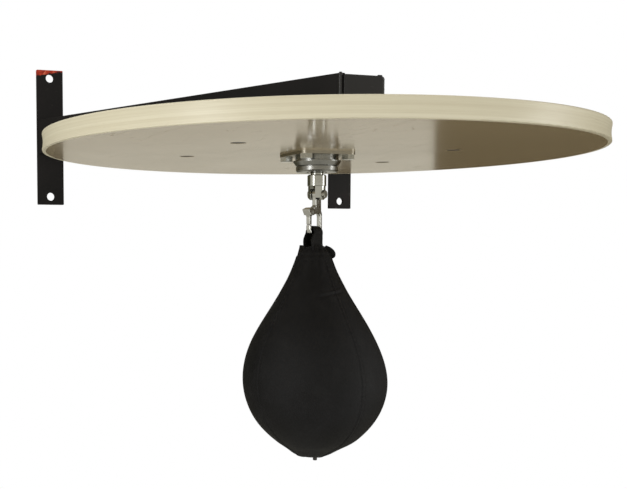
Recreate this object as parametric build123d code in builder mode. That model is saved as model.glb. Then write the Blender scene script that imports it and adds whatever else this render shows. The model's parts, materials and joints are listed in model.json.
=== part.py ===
from build123d import *
import math
import os

# Speed bag platform: a round rebound board under a V-shaped wall frame, with a
# ball-bearing swivel, a snap hook and a leather bag.
# Millimetres. Origin: centre of the four wall holes, on the wall face.
# +X runs along the wall to the right as seen from the room, +Y into the wall, +Z up.

# ---------------------------------------------------------------- driving sizes

# Wall frame
wall_hole_span_x = 444.0
wall_hole_span_z = 160.0
wall_hole_d = 11.0
plate_width = 36.0
plate_height = 182.0
plate_corner_r = 1.0
nose_edge_r = 0.8
bar_thickness = 5.0
arm_height = 46.0
arm_rear_x = 238.5
nose_width = 44.0
nose_height = 44.0
nose_reach = 472.0
crossbar_width = 32.0
crossbar_length = 290.0
crossbar_thickness = 6.0
crossbar_corner_r = 3.0
weld_r = 2.6
weld_inset = 2.0
crossbar_weld_length = 26.0

# Rebound board
board_d = 610.0
board_thickness = 20.0
board_reach = 368.0
underside_z = -48.0
rim_thickness = 4.0
rim_hollow = 0.9
lip_r = 1.2
lip_height = 2.2
laminate_thickness = 0.8
bolt_span_x = 254.0
bolt_span_y = 152.0

# Standard fasteners
m8_shank_d = 8.0
m8_clearance_d = 8.6
m8_across_flats = 13.0
m8_head_height = 5.3
m8_nut_height = 6.5
m8_washer_d = 16.0
m8_washer_thickness = 1.6
board_bolt_head_d = 16.0
board_bolt_head_height = 3.0
board_bolt_sunk = 0.4
board_bolt_recess_d = 16.8
thread_past_nut = 2.5
nut_chamfer = 0.6
head_chamfer = 0.5

# Swivel and its bearing; depths are measured down from the board's underside
swivel_plate_side = 66.0
swivel_plate_corner_r = 8.0
swivel_plate_thickness = 3.0
swivel_bolt_span = 50.8
housing_d = 48.0
housing_collar_d = 53.0
housing_collar_top = 8.0
housing_collar_slope = 0.6
housing_collar_land = 1.2
housing_bottom = 14.0
housing_bore_d = 26.0
cap_d = 47.0
cap_gap = 0.6
cap_bottom = 21.0
cap_top_chamfer = 0.5
cap_bottom_chamfer = 1.6
cap_bore_clearance = 2.0
spigot_d = 40.0
bearing_top = 8.0
bearing_width = 9.0
bearing_squeeze = 0.5
bearing_outer_d = 32.0
bearing_inner_d = 15.0
ball_d = 4.76
ball_circle_d = 23.5
ball_count = 9
raceway_clearance = 0.05
race_land = 2.2
cage_wall = 1.8
cage_height = 6.4
shoulder_d = 19.0
spindle_thread_d = 12.0
spindle_thread_chamfer = 0.6
spindle_thread_past_nut = 1.0
spindle_waist_d = 14.0
spindle_waist_slope = 0.8
spindle_nut_flats = 18.0
spindle_nut_height = 5.0
spindle_washer_thickness = 1.0

# Fork, pin and snap hook; the fork stands turned by hang_turn about the swivel axis
hang_turn = -57.0
fork_top = 23.8
fork_d = 21.0
fork_step = 36.5
fork_chamfer = 1.0
fork_step_slope = 0.5
prong_chamfer = 2.0
prong_d = 19.4
prong_bottom = 51.5
slot_width = 6.4
pin_depth = 45.5
pin_d = 6.0
pin_flat_x = 8.4
pin_head_d = 9.0
pin_head_height = 3.2
pin_head_edge_r = 0.9
pin_head_relief = 0.8
pin_clip_d = 10.0
pin_clip_thickness = 1.0
pin_tail = 1.2
running_clearance = 0.05
hook_thickness = 5.4
eye_r = 6.5
ring_top = 61.0
hook_bottom = 91.0
hook_edge_r = 1.0
ring_corner_r = 8.0
# Side views of the hook's neck, the web under its gate lug, and the gate: sideways place, depth
hook_neck_shape = ((-5.7, 45.5), (5.7, 45.5), (5.5, 57.0), (6.0, 66.5), (-12.0, 66.5), (-5.5, 59.0))
lug_web_shape = ((-8.0, 61.0), (-8.0, 67.5), (-12.5, 68.4), (-12.5, 61.6), (-5.5, 58.0))
opening_corner_r = 3.0
hook_left = -18.5
hook_right = 8.2
mouth_right = -9.0
mouth_top = 60.0
opening_left = -14.3
opening_right = 4.4
opening_top = 67.5
opening_bottom = 85.8
gate_pivot_y = -12.5
gate_pivot_depth = 65.0
gate_lug_r = 3.4
gate_gap = 0.4
gate_tip_depth = 79.2
gate_nose_gap = 0.8
gate_ear = 1.2
gate_shape = (
    (-9.7, 66.5),
    (-14.5, 70.5),
    (-14.5, gate_tip_depth),
    (-17.5, gate_tip_depth),
    (-18.5, gate_tip_depth - 1.0),
    (-18.5, 71.0),
    (-23.4, 64.2),
    (-24.0, 62.6),
    (-16.5, 60.4),
    (-12.5, 61.6),
)
gate_relief_r = 3.9
gate_relief_reach = 20.0
gate_relief_height = 14.0
gate_bar_top = 69.0
gate_bar_thickness = 4.6
gate_pin_d = 2.5
rivet_head_d = 4.2
rivet_head_height = 0.6
spring_pocket_x = 0.2
spring_pocket_r = 4.0
spring_end_gap = 0.5
spring_r = 2.1
spring_wire_d = 0.7
spring_pitch = 0.85

# Bag
strap_thickness = 2.4
strap_width = 10.0
strap_shift = 4.9
strap_inner_r = 4.2
strap_bottom = 99.5
collar_bottom = 112.0
collar_shoulder = 6.0
collar_top_r = 13.0
neck_r = 18.0
bag_bottom = 342.0
# Points down the bag's outline: radius, depth, and the outward normal's angle above level
bag_shape = (
    (27.9, 136.0, 25.0),
    (50.3, 175.5, 31.5),
    (72.1, 215.0, 22.0),
    (81.2, 257.0, 0.0),
    (76.3, 282.0, -21.0),
    (63.2, 305.5, -41.0),
    (53.9, 315.5, -48.0),
    (40.8, 326.0, -57.5),
    (30.3, 332.0, -62.0),
)
neck_flare = 0.36
leather_thickness = 2.5
bladder_gap = 0.5
bladder_thickness = 1.5
neck_wall = 4.0
bladder_top_gap = 2.0
valve_hole_extra = 4.0
valve_edge_r = 1.2
valve_r = 2.4
valve_tip_depth = 346.5

# ---------------------------------------------------------------- derived places

board_top_z = underside_z + board_thickness
crossbar_top_z = board_top_z + crossbar_thickness
swivel_point = (0, -board_reach, underside_z)
swivel_axis = Axis(swivel_point, (0, 0, 1))
board_section = Plane(origin=swivel_point, x_dir=(1, 0, 0), z_dir=(0, -1, 0))
board_bolt_centre = (0, -board_reach)

turn = math.radians(hang_turn)
pin_direction = (math.cos(turn), math.sin(turn), 0)
side_direction = (-math.sin(turn), math.cos(turn), 0)
hang_section = Plane(origin=swivel_point, x_dir=pin_direction, z_dir=(math.sin(turn), -math.cos(turn), 0))
hook_plane = Plane(origin=swivel_point, x_dir=side_direction, z_dir=pin_direction)


def depth_plane(depth):
    """Horizontal plane the given depth below the board's underside, on the swivel axis."""
    x, y, z = swivel_point
    return Plane(origin=(x, y, z - depth), x_dir=(1, 0, 0), z_dir=(0, 0, 1))


def hang_plane(depth):
    """The same horizontal plane, turned with the fork."""
    x, y, z = swivel_point
    return Plane(origin=(x, y, z - depth), x_dir=pin_direction, z_dir=(0, 0, 1))


def finish(builder, name):
    """Label a piece and write its STEP file."""
    builder.part.label = name
    export_step(builder.part, f"parts/{name}.step")


os.makedirs("parts", exist_ok=True)

# ---------------------------------------------------------------- wall plates

for side, plate_name in ((-1, "left_wall_plate"), (1, "right_wall_plate")):
    plate_face = Plane(origin=(side * wall_hole_span_x / 2, 0, 0), x_dir=(1, 0, 0), z_dir=(0, -1, 0))
    with BuildPart() as wall_plate:
        with BuildSketch(plate_face):
            Rectangle(plate_width, plate_height)
            with Locations((0, wall_hole_span_z / 2), (0, -wall_hole_span_z / 2)):
                Circle(wall_hole_d / 2, mode=Mode.SUBTRACT)
        extrude(amount=bar_thickness)
        corners = wall_plate.edges().filter_by(Axis.Y).filter_by(GeomType.LINE)
        fillet(corners, plate_corner_r)
    finish(wall_plate, plate_name)

# ---------------------------------------------------------------- arms

arm_front_y = -(nose_reach - bar_thickness)
arm_slope = (arm_rear_x - nose_width / 2) / (nose_reach - bar_thickness)
arm_front_x = nose_width / 2 + arm_slope * bar_thickness
arm_cut_x = bar_thickness * math.hypot(1, arm_slope)

for side, arm_name in ((-1, "left_arm"), (1, "right_arm")):
    with BuildPart() as arm:
        with BuildSketch(Plane.XY.offset(crossbar_top_z)):
            with BuildLine():
                Polyline(
                    (side * arm_rear_x, -bar_thickness),
                    (side * (arm_rear_x - arm_cut_x), -bar_thickness),
                    (side * (arm_front_x - arm_cut_x), arm_front_y),
                    (side * arm_front_x, arm_front_y),
                    close=True,
                )
            make_face()
        extrude(amount=arm_height)
    finish(arm, arm_name)

with BuildPart() as nose_plate:
    with BuildSketch(Plane(origin=(0, arm_front_y, crossbar_top_z), x_dir=(1, 0, 0), z_dir=(0, -1, 0))):
        with Locations((0, nose_height / 2)):
            Rectangle(nose_width, nose_height)
    extrude(amount=bar_thickness)
    fillet(nose_plate.edges().filter_by(Axis.Z).group_by(Axis.Y)[0], nose_edge_r)
finish(nose_plate, "nose_plate")

# ---------------------------------------------------------------- crossbars

for row, bar_name in ((-1, "front_crossbar"), (1, "rear_crossbar")):
    with BuildPart() as crossbar:
        with BuildSketch(Plane.XY.offset(board_top_z)):
            with Locations((0, -board_reach + row * bolt_span_y / 2)):
                Rectangle(crossbar_length, crossbar_width)
                with GridLocations(bolt_span_x, 0, 2, 1):
                    Circle(m8_clearance_d / 2, mode=Mode.SUBTRACT)
        extrude(amount=crossbar_thickness)
        fillet(crossbar.edges().filter_by(Axis.Z).filter_by(GeomType.LINE), crossbar_corner_r)
    finish(crossbar, bar_name)

# ---------------------------------------------------------------- weld beads

plate_weld_length = arm_height - 2 * weld_inset

with BuildPart() as weld_beads:
    for side in (-1, 1):
        # Down the inner and outer corners where each arm meets its wall plate, and its nose end
        inner_rear = (side * (arm_rear_x - arm_cut_x - 0.4), -bar_thickness - 0.4)
        outer_front = (side * (arm_front_x - 0.3), arm_front_y - 0.2)
        inner_front = (side * (arm_front_x - arm_cut_x - 0.6), arm_front_y + 0.6)
        for corner in (inner_rear, outer_front, inner_front):
            with BuildSketch(Plane.XY.offset(crossbar_top_z + weld_inset)):
                with Locations(corner):
                    Circle(weld_r)
            extrude(amount=plate_weld_length)
        # Along the outer foot of each arm on each crossbar
        for row in (-1, 1):
            foot_y = -board_reach + row * bolt_span_y / 2
            foot_x = side * (nose_width / 2 + arm_slope * (nose_reach + foot_y))
            run = (side * arm_slope, 1, 0)
            with BuildSketch(Plane(origin=(foot_x, foot_y, crossbar_top_z + 0.3), z_dir=run)):
                Circle(weld_r)
            extrude(amount=crossbar_weld_length / 2, both=True)
finish(weld_beads, "weld_beads")

# ---------------------------------------------------------------- board

panel_r = board_d / 2 - rim_thickness
panel_thickness = board_thickness - 2 * laminate_thickness
recess_top_z = underside_z + board_bolt_sunk + board_bolt_head_height

with BuildPart() as board_panel:
    with BuildSketch(Plane.XY.offset(underside_z + laminate_thickness)):
        with Locations(board_bolt_centre):
            Circle(panel_r)
            with GridLocations(bolt_span_x, bolt_span_y, 2, 2):
                Circle(m8_clearance_d / 2, mode=Mode.SUBTRACT)
            with GridLocations(swivel_bolt_span, swivel_bolt_span, 2, 2):
                Circle(m8_clearance_d / 2, mode=Mode.SUBTRACT)
    extrude(amount=panel_thickness)
    with BuildSketch(Plane.XY.offset(recess_top_z)):
        with Locations(board_bolt_centre):
            with GridLocations(bolt_span_x, bolt_span_y, 2, 2):
                Circle(board_bolt_recess_d / 2)
    extrude(amount=-board_thickness / 2, mode=Mode.SUBTRACT)
finish(board_panel, "board_panel")

laminate_levels = (
    ("underside_laminate", underside_z, board_bolt_recess_d),
    ("topside_laminate", board_top_z - laminate_thickness, m8_clearance_d),
)
for laminate_name, level, bolt_hole_d in laminate_levels:
    with BuildPart() as laminate:
        with BuildSketch(Plane.XY.offset(level)):
            with Locations(board_bolt_centre):
                Circle(panel_r)
                with GridLocations(bolt_span_x, bolt_span_y, 2, 2):
                    Circle(bolt_hole_d / 2, mode=Mode.SUBTRACT)
                with GridLocations(swivel_bolt_span, swivel_bolt_span, 2, 2):
                    Circle(m8_clearance_d / 2, mode=Mode.SUBTRACT)
        extrude(amount=laminate_thickness)
    finish(laminate, laminate_name)

# Edge band: a bent hoop with rounded lips and a shallow hollow around its face
rim_r = board_d / 2
with BuildPart() as rim_band:
    with BuildSketch(board_section):
        with BuildLine():
            Line((panel_r, 0), (rim_r - lip_r, 0))
            RadiusArc((rim_r - lip_r, 0), (rim_r, lip_r), -lip_r)
            Line((rim_r, lip_r), (rim_r, lip_height))
            ThreePointArc(
                (rim_r, lip_height),
                (rim_r - rim_hollow, board_thickness / 2),
                (rim_r, board_thickness - lip_height),
            )
            Line((rim_r, board_thickness - lip_height), (rim_r, board_thickness - lip_r))
            RadiusArc((rim_r, board_thickness - lip_r), (rim_r - lip_r, board_thickness), -lip_r)
            Line((rim_r - lip_r, board_thickness), (panel_r, board_thickness))
            Line((panel_r, board_thickness), (panel_r, 0))
        make_face()
    revolve(axis=swivel_axis)
finish(rim_band, "rim_band")

# ---------------------------------------------------------------- board fasteners

board_shank = crossbar_top_z + m8_washer_thickness + m8_nut_height + thread_past_nut - recess_top_z
with BuildPart() as board_bolts:
    with BuildSketch(Plane.XY.offset(underside_z + board_bolt_sunk)):
        with Locations(board_bolt_centre):
            with GridLocations(bolt_span_x, bolt_span_y, 2, 2):
                Circle(board_bolt_head_d / 2)
    extrude(amount=board_bolt_head_height)
    with BuildSketch(Plane.XY.offset(recess_top_z)):
        with Locations(board_bolt_centre):
            with GridLocations(bolt_span_x, bolt_span_y, 2, 2):
                Circle(m8_shank_d / 2)
    extrude(amount=board_shank)
finish(board_bolts, "board_bolts")


def washers(span_x, span_y, level, name):
    """Four plain M8 washers lying on a level, around the board's centre."""
    with BuildPart() as group:
        with BuildSketch(Plane.XY.offset(level)):
            with Locations(board_bolt_centre):
                with GridLocations(span_x, span_y, 2, 2):
                    Circle(m8_washer_d / 2)
                    Circle(m8_shank_d / 2, mode=Mode.SUBTRACT)
        extrude(amount=m8_washer_thickness)
    finish(group, name)


def nuts(span_x, span_y, level, name):
    """Four M8 nuts standing on a level, around the board's centre."""
    with BuildPart() as group:
        with BuildSketch(Plane.XY.offset(level)):
            with Locations(board_bolt_centre):
                with GridLocations(span_x, span_y, 2, 2):
                    RegularPolygon(m8_across_flats / 2, 6, major_radius=False)
                    Circle(m8_shank_d / 2, mode=Mode.SUBTRACT)
        extrude(amount=m8_nut_height)
        chamfer(group.edges().filter_by(GeomType.LINE).group_by(Axis.Z)[-1], nut_chamfer)
    finish(group, name)


washers(bolt_span_x, bolt_span_y, crossbar_top_z, "board_washers")
nuts(bolt_span_x, bolt_span_y, crossbar_top_z + m8_washer_thickness, "board_nuts")

# ---------------------------------------------------------------- swivel base

with BuildPart() as swivel_base_plate:
    with BuildSketch(depth_plane(swivel_plate_thickness)):
        RectangleRounded(swivel_plate_side, swivel_plate_side, swivel_plate_corner_r)
        Circle(housing_bore_d / 2, mode=Mode.SUBTRACT)
        with GridLocations(swivel_bolt_span, swivel_bolt_span, 2, 2):
            Circle(m8_clearance_d / 2, mode=Mode.SUBTRACT)
    extrude(amount=swivel_plate_thickness)
finish(swivel_base_plate, "swivel_base_plate")

swivel_stack = board_thickness + m8_washer_thickness + m8_nut_height + thread_past_nut
with BuildPart() as swivel_bolts:
    with BuildSketch(depth_plane(swivel_plate_thickness + m8_head_height)):
        with GridLocations(swivel_bolt_span, swivel_bolt_span, 2, 2):
            RegularPolygon(m8_across_flats / 2, 6, major_radius=False)
    extrude(amount=m8_head_height)
    chamfer(swivel_bolts.edges().filter_by(GeomType.LINE).group_by(Axis.Z)[0], head_chamfer)
    with BuildSketch(depth_plane(swivel_plate_thickness)):
        with GridLocations(swivel_bolt_span, swivel_bolt_span, 2, 2):
            Circle(m8_shank_d / 2)
    extrude(amount=swivel_plate_thickness + swivel_stack)
finish(swivel_bolts, "swivel_bolts")

washers(swivel_bolt_span, swivel_bolt_span, board_top_z, "swivel_washers")
nuts(swivel_bolt_span, swivel_bolt_span, board_top_z + m8_washer_thickness, "swivel_nuts")

# ---------------------------------------------------------------- bearing housing

bearing_bottom = bearing_top + bearing_width
spigot_bottom = bearing_bottom - bearing_squeeze
collar_land_top = housing_collar_top + housing_collar_slope
cap_top = housing_bottom + cap_gap
outer_r = bearing_outer_d / 2
spigot_r = spigot_d / 2

with BuildPart() as bearing_housing:
    with BuildSketch(board_section):
        with BuildLine():
            Polyline(
                (housing_bore_d / 2, -swivel_plate_thickness),
                (housing_d / 2, -swivel_plate_thickness),
                (housing_d / 2, -housing_collar_top),
                (housing_collar_d / 2, -collar_land_top),
                (housing_collar_d / 2, -collar_land_top - housing_collar_land),
                (cap_d / 2, -housing_bottom),
                (spigot_r, -housing_bottom),
                (spigot_r, -spigot_bottom),
                (outer_r, -spigot_bottom),
                (outer_r, -bearing_top),
                (housing_bore_d / 2, -bearing_top),
                close=True,
            )
        make_face()
    revolve(axis=swivel_axis)
finish(bearing_housing, "bearing_housing")

cap_bore_r = shoulder_d / 2 + cap_bore_clearance
with BuildPart() as bearing_cap:
    with BuildSketch(board_section):
        with BuildLine():
            Polyline(
                (spigot_r, -cap_top),
                (cap_d / 2 - cap_top_chamfer, -cap_top),
                (cap_d / 2, -cap_top - cap_top_chamfer),
                (cap_d / 2, -cap_bottom + cap_bottom_chamfer),
                (cap_d / 2 - cap_bottom_chamfer, -cap_bottom),
                (cap_bore_r, -cap_bottom),
                (cap_bore_r, -bearing_bottom),
                (spigot_r, -bearing_bottom),
                close=True,
            )
        make_face()
    revolve(axis=swivel_axis)
finish(bearing_cap, "bearing_cap")

# ---------------------------------------------------------------- ball bearing

ball_ring_r = ball_circle_d / 2
ball_depth = bearing_top + bearing_width / 2
groove_r = ball_d / 2 + raceway_clearance
races = (
    ("bearing_outer_race", ball_ring_r + race_land, outer_r),
    ("bearing_inner_race", bearing_inner_d / 2, ball_ring_r - race_land),
)
for race_name, inner, outer in races:
    with BuildPart() as race:
        with BuildSketch(board_section):
            with Locations(((inner + outer) / 2, -ball_depth)):
                Rectangle(outer - inner, bearing_width)
            with Locations((ball_ring_r, -ball_depth)):
                Circle(groove_r, mode=Mode.SUBTRACT)
        revolve(axis=swivel_axis)
    finish(race, race_name)

with BuildPart() as bearing_balls:
    with Locations(depth_plane(ball_depth)):
        with PolarLocations(ball_ring_r, ball_count):
            Sphere(ball_d / 2)
finish(bearing_balls, "bearing_balls")

with BuildPart() as bearing_cage:
    with BuildSketch(depth_plane(ball_depth)):
        Circle(ball_ring_r + cage_wall / 2)
        Circle(ball_ring_r - cage_wall / 2, mode=Mode.SUBTRACT)
    extrude(amount=cage_height / 2, both=True)
    # A round pocket for each ball, drilled through the ring
    with Locations(depth_plane(ball_depth)):
        with PolarLocations(ball_ring_r, ball_count):
            Cylinder(
                ball_d / 2 + raceway_clearance,
                2 * cage_wall,
                rotation=(0, 90, 0),
                mode=Mode.SUBTRACT,
            )
finish(bearing_cage, "bearing_cage")

# ---------------------------------------------------------------- spindle and fork

nut_bottom = bearing_top - spindle_washer_thickness
thread_top = nut_bottom - spindle_nut_height - spindle_thread_past_nut
journal_r = bearing_inner_d / 2
waist_r = spindle_waist_d / 2
thread_r = spindle_thread_d / 2
pin_centre = (0, -pin_depth)

with BuildPart() as spindle_fork:
    with BuildSketch(hang_section):
        with BuildLine():
            Polyline(
                (0, -thread_top),
                (thread_r - spindle_thread_chamfer, -thread_top),
                (thread_r, -thread_top - spindle_thread_chamfer),
                (thread_r, -bearing_top),
                (journal_r, -bearing_top),
                (journal_r, -bearing_bottom),
                (shoulder_d / 2, -bearing_bottom),
                (shoulder_d / 2, -cap_bottom),
                (waist_r, -cap_bottom - spindle_waist_slope),
                (waist_r, -fork_top),
                (fork_d / 2 - fork_chamfer, -fork_top),
                (fork_d / 2, -fork_top - fork_chamfer),
                (fork_d / 2, -fork_step + fork_step_slope),
                (prong_d / 2, -fork_step),
                (prong_d / 2, -prong_bottom + prong_chamfer),
                (prong_d / 2 - prong_chamfer, -prong_bottom),
                (0, -prong_bottom),
                close=True,
            )
        make_face()
    revolve(axis=swivel_axis)
    # The slot between the prongs
    with BuildSketch(hook_plane):
        with Locations((0, -fork_step)):
            Rectangle(fork_d + 2, prong_bottom, align=(Align.CENTER, Align.MAX))
    extrude(amount=slot_width / 2, both=True, mode=Mode.SUBTRACT)
    # Flats for the pin's head and clip, and the bore for the pin
    for end in (-1, 1):
        with BuildSketch(hook_plane.offset(end * pin_flat_x)):
            with Locations(pin_centre):
                Circle(pin_head_d / 2 + pin_head_relief)
        extrude(amount=end * fork_d, mode=Mode.SUBTRACT)
    with BuildSketch(hook_plane):
        with Locations(pin_centre):
            Circle(pin_d / 2)
    extrude(amount=fork_d, both=True, mode=Mode.SUBTRACT)
finish(spindle_fork, "spindle_fork")

with BuildPart() as spindle_washer:
    with BuildSketch(depth_plane(bearing_top)):
        Circle(shoulder_d / 2)
        Circle(spindle_thread_d / 2, mode=Mode.SUBTRACT)
    extrude(amount=spindle_washer_thickness)
finish(spindle_washer, "spindle_washer")

with BuildPart() as spindle_nut:
    with BuildSketch(depth_plane(nut_bottom)):
        RegularPolygon(spindle_nut_flats / 2, 6, major_radius=False)
        Circle(spindle_thread_d / 2, mode=Mode.SUBTRACT)
    extrude(amount=spindle_nut_height)
finish(spindle_nut, "spindle_nut")

clip_out = pin_flat_x + pin_clip_thickness
pin_left = clip_out + pin_tail
with BuildPart() as fork_pin:
    with BuildSketch(hook_plane.offset(-pin_left)):
        with Locations(pin_centre):
            Circle(pin_d / 2)
    extrude(amount=pin_left + pin_flat_x)
    with BuildSketch(hook_plane.offset(pin_flat_x)):
        with Locations(pin_centre):
            Circle(pin_head_d / 2)
    extrude(amount=pin_head_height)
    head_face = fork_pin.faces().sort_by(Axis(swivel_point, pin_direction))[-1]
    fillet(head_face.edges(), pin_head_edge_r)
finish(fork_pin, "fork_pin")

with BuildPart() as pin_clip:
    with BuildSketch(hook_plane.offset(-clip_out)):
        with Locations(pin_centre):
            Circle(pin_clip_d / 2)
            Circle(pin_d / 2, mode=Mode.SUBTRACT)
            Rectangle(pin_d / 2, pin_clip_d, align=(Align.CENTER, Align.MAX), mode=Mode.SUBTRACT)
    extrude(amount=pin_clip_thickness)
finish(pin_clip, "pin_clip")

# ---------------------------------------------------------------- snap hook

lug_centre = (gate_pivot_y, -gate_pivot_depth)
ring_width = hook_right - hook_left
ring_centre_y = (hook_right + hook_left) / 2
opening_width = opening_right - opening_left
opening_centre_y = (opening_right + opening_left) / 2
nose_top = gate_tip_depth + gate_nose_gap


def hook_corners(shape):
    """Corners in the hook's plane from pairs of sideways place and depth."""
    return [(sideways, -depth) for sideways, depth in shape]


with BuildPart() as snap_hook:
    with BuildSketch(hook_plane):
        # Eye and shank
        with Locations(pin_centre):
            Circle(eye_r)
        with BuildLine():
            Polyline(*hook_corners(hook_neck_shape), close=True)
        make_face()
        # Ring, its opening, the mouth on the gate side, and the lug that carries the gate
        with Locations((ring_centre_y, -(ring_top + hook_bottom) / 2)):
            RectangleRounded(ring_width, hook_bottom - ring_top, ring_corner_r)
        with Locations((opening_centre_y, -(opening_top + opening_bottom) / 2)):
            RectangleRounded(
                opening_width,
                opening_bottom - opening_top,
                opening_corner_r,
                mode=Mode.SUBTRACT,
            )
        with Locations((mouth_right, -nose_top)):
            Rectangle(
                ring_width,
                nose_top - mouth_top,
                align=(Align.MAX, Align.MIN),
                mode=Mode.SUBTRACT,
            )
        with BuildLine():
            Polyline(*hook_corners(lug_web_shape), close=True)
        make_face()
        with Locations(lug_centre):
            Circle(gate_lug_r)
            Circle(gate_pin_d / 2 + running_clearance, mode=Mode.SUBTRACT)
        with Locations(pin_centre):
            Circle(pin_d / 2 + running_clearance, mode=Mode.SUBTRACT)
    extrude(amount=hook_thickness / 2, both=True)
    # Rounded edges round the ring's lower half
    low_edges = snap_hook.edges().filter_by(lambda edge: edge.center().Z < underside_z - gate_tip_depth)
    face_edges = low_edges.filter_by(
        lambda edge: abs(hook_plane.to_local_coords(edge.center()).Z) > hook_thickness / 2 - 0.1
    )
    fillet(face_edges, hook_edge_r)
    # Pocket beside the lug for the gate's spring
    with BuildSketch(hook_plane.offset(spring_pocket_x)):
        with Locations(lug_centre):
            Circle(spring_pocket_r)
    extrude(amount=hook_thickness, mode=Mode.SUBTRACT)
finish(snap_hook, "snap_hook")

# ---------------------------------------------------------------- gate, its pin and spring

gate_outer_x = hook_thickness / 2 + gate_gap + gate_ear
gate_inner_x = hook_thickness / 2 + gate_gap
with BuildPart() as hook_gate:
    with BuildSketch(hook_plane):
        with Locations(lug_centre):
            Circle(gate_lug_r)
        with BuildLine():
            Polyline(*hook_corners(gate_shape), close=True)
        make_face()
    extrude(amount=gate_outer_x, both=True)
    with BuildSketch(hook_plane):
        with Locations(lug_centre):
            Circle(gate_relief_r)
            Rectangle(gate_relief_reach, gate_relief_height, align=(Align.MIN, Align.CENTER))
    extrude(amount=gate_inner_x, both=True, mode=Mode.SUBTRACT)
    # The bar below the ears is slimmer than the ears
    for end in (-1, 1):
        with BuildSketch(hook_plane.offset(end * gate_bar_thickness / 2)):
            with Locations((gate_pivot_y, -gate_bar_top)):
                Rectangle(gate_relief_reach, gate_relief_reach, align=(Align.CENTER, Align.MAX))
        extrude(amount=end * gate_outer_x, mode=Mode.SUBTRACT)
    with BuildSketch(hook_plane):
        with Locations(lug_centre):
            Circle(gate_pin_d / 2)
    extrude(amount=gate_outer_x, both=True, mode=Mode.SUBTRACT)
finish(hook_gate, "hook_gate")

rivet_out = gate_outer_x + rivet_head_height
with BuildPart() as gate_pin:
    with BuildSketch(hook_plane):
        with Locations(lug_centre):
            Circle(gate_pin_d / 2)
    extrude(amount=gate_outer_x, both=True)
    for end in (-1, 1):
        with BuildSketch(hook_plane.offset(end * gate_outer_x)):
            with Locations(lug_centre):
                Circle(rivet_head_d / 2)
        extrude(amount=end * rivet_head_height)
finish(gate_pin, "gate_pin")

spring_length = hook_thickness / 2 - spring_pocket_x - spring_end_gap - 0.3
spring_start = hook_plane.offset(spring_pocket_x + spring_end_gap)
spring_origin = spring_start.from_local_coords(Vector(gate_pivot_y, -gate_pivot_depth, 0))
spring_plane = Plane(origin=spring_origin, x_dir=side_direction, z_dir=pin_direction)
with BuildPart() as gate_spring:
    with BuildLine(spring_plane) as coil:
        Helix(spring_pitch, spring_length, spring_r, direction=pin_direction)
    with BuildSketch(Plane(origin=coil.line @ 0, z_dir=coil.line % 0)):
        Circle(spring_wire_d / 2)
    sweep()
finish(gate_spring, "gate_spring")

# ---------------------------------------------------------------- bag

strap_axis_depth = (opening_bottom + hook_bottom) / 2
strap_outer_r = strap_inner_r + strap_thickness
collar_top = strap_bottom

with BuildPart() as bag_loop:
    with BuildSketch(hang_section.offset(strap_shift)):
        with Locations((0, -strap_axis_depth)):
            Circle(strap_outer_r)
            Rectangle(2 * strap_outer_r, strap_bottom - strap_axis_depth, align=(Align.CENTER, Align.MAX))
            Circle(strap_inner_r, mode=Mode.SUBTRACT)
            Rectangle(
                2 * strap_inner_r,
                strap_bottom - strap_axis_depth,
                align=(Align.CENTER, Align.MAX),
                mode=Mode.SUBTRACT,
            )
    extrude(amount=strap_width / 2, both=True)
finish(bag_loop, "bag_loop")

with BuildPart() as bag_collar:
    with BuildSketch(board_section):
        with BuildLine():
            Polyline(
                (0, -collar_top),
                (collar_top_r, -collar_top),
                (neck_r, -collar_top - collar_shoulder),
                (neck_r, -collar_bottom),
                (0, -collar_bottom),
                close=True,
            )
        make_face()
    revolve(axis=swivel_axis)
finish(bag_collar, "bag_collar")


def bag_outline(inset, top_depth):
    """Half section of the teardrop, set in from the leather's outer face, closed on the axis."""
    top = (neck_r - inset, -top_depth)
    bottom_point = (0, -bag_bottom + inset)
    side = []
    for radius, depth, lean in bag_shape:
        angle = math.radians(lean)
        side.append((radius - inset * math.cos(angle), -depth - inset * math.sin(angle)))
    with BuildLine() as outline:
        Line((0, -top_depth), top)
        Spline(top, *side, bottom_point, tangents=((neck_flare, -1), (-1, 0)))
        Line(bottom_point, (0, -top_depth))
    return outline.line


def bag_layer(outer_inset, inner_inset, outer_top, inner_top):
    """One closed layer of the bag between two insets, as a hollow teardrop."""
    with BuildPart() as layer:
        for inset, top_depth, mode in (
            (outer_inset, outer_top, Mode.ADD),
            (inner_inset, inner_top, Mode.SUBTRACT),
        ):
            with BuildSketch(board_section, mode=Mode.PRIVATE) as section:
                add(bag_outline(inset, top_depth))
                make_face()
            revolve(section.sketch, axis=swivel_axis, mode=mode)
    return layer


bladder_inset = leather_thickness + bladder_gap
shell_bore_top = collar_bottom + neck_wall
bag_shell = bag_layer(0, leather_thickness, collar_bottom, shell_bore_top)
bag_bladder = bag_layer(
    bladder_inset,
    bladder_inset + bladder_thickness,
    shell_bore_top + bladder_top_gap,
    shell_bore_top + bladder_top_gap + bladder_thickness,
)
valve_top_depth = bag_bottom - bladder_inset - bladder_thickness
with BuildPart() as bladder_valve:
    with BuildSketch(depth_plane(valve_tip_depth)):
        Circle(valve_r)
    extrude(amount=valve_tip_depth - valve_top_depth)
    fillet(bladder_valve.edges().group_by(Axis.Z)[0], valve_edge_r)

with BuildPart() as valve_hole:
    with BuildSketch(depth_plane(valve_tip_depth)):
        Circle(valve_r)
    extrude(amount=valve_tip_depth - valve_top_depth + valve_hole_extra)

bag_shell.part = bag_shell.part - valve_hole.part
bag_bladder.part = bag_bladder.part - valve_hole.part
finish(bag_shell, "bag_shell")
finish(bag_bladder, "bag_bladder")
finish(bladder_valve, "bladder_valve")
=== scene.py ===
import json
import math

import bmesh
import bpy
import numpy as np
from mathutils import Matrix, Vector, noise
from mathutils.bvhtree import BVHTree


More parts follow.
